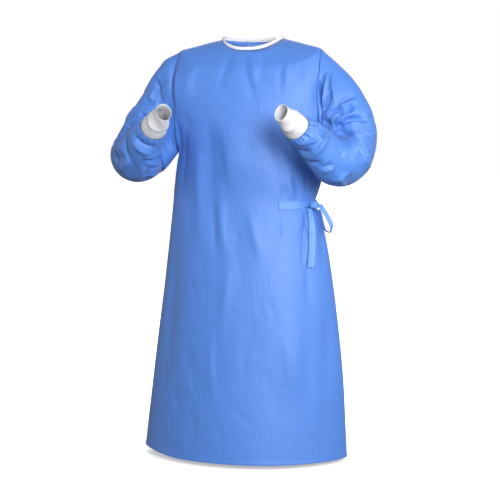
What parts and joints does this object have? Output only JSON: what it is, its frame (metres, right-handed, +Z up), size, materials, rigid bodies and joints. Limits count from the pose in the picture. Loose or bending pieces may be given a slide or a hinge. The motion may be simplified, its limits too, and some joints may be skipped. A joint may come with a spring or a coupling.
{
  "type": "surgical gown",
  "caption": "Long-sleeved wrap-back surgical gown in its worn, hollow form, with bent sleeves, white knit cuffs, bound round neck and side ties.",
  "frame": {"origin": "middle of the neck opening, level with the top of the shoulders, where the wearer holds the gown up", "axes": "+Z up, -Y towards the front, +X towards the wearer's left"},
  "size_m": [0.7814, 0.5244, 1.2372],
  "materials": {
    "gown_cloth": "matte",
    "cuff_knit": "matte",
    "neck_binding": "matte"
  },
  "bodies": {
    "root": {"front_panel": "gown_cloth", "back_panel_outer": "gown_cloth", "back_panel_inner": "gown_cloth", "sleeve_right": "gown_cloth", "sleeve_left": "gown_cloth", "cuff_right": "cuff_knit", "cuff_left": "cuff_knit", "neck_binding": "neck_binding", "tie_front": "gown_cloth", "tie_back": "gown_cloth", "tie_knot": "gown_cloth", "tie_loop": "gown_cloth", "tie_tail": "gown_cloth"}
  },
  "joints": []
}
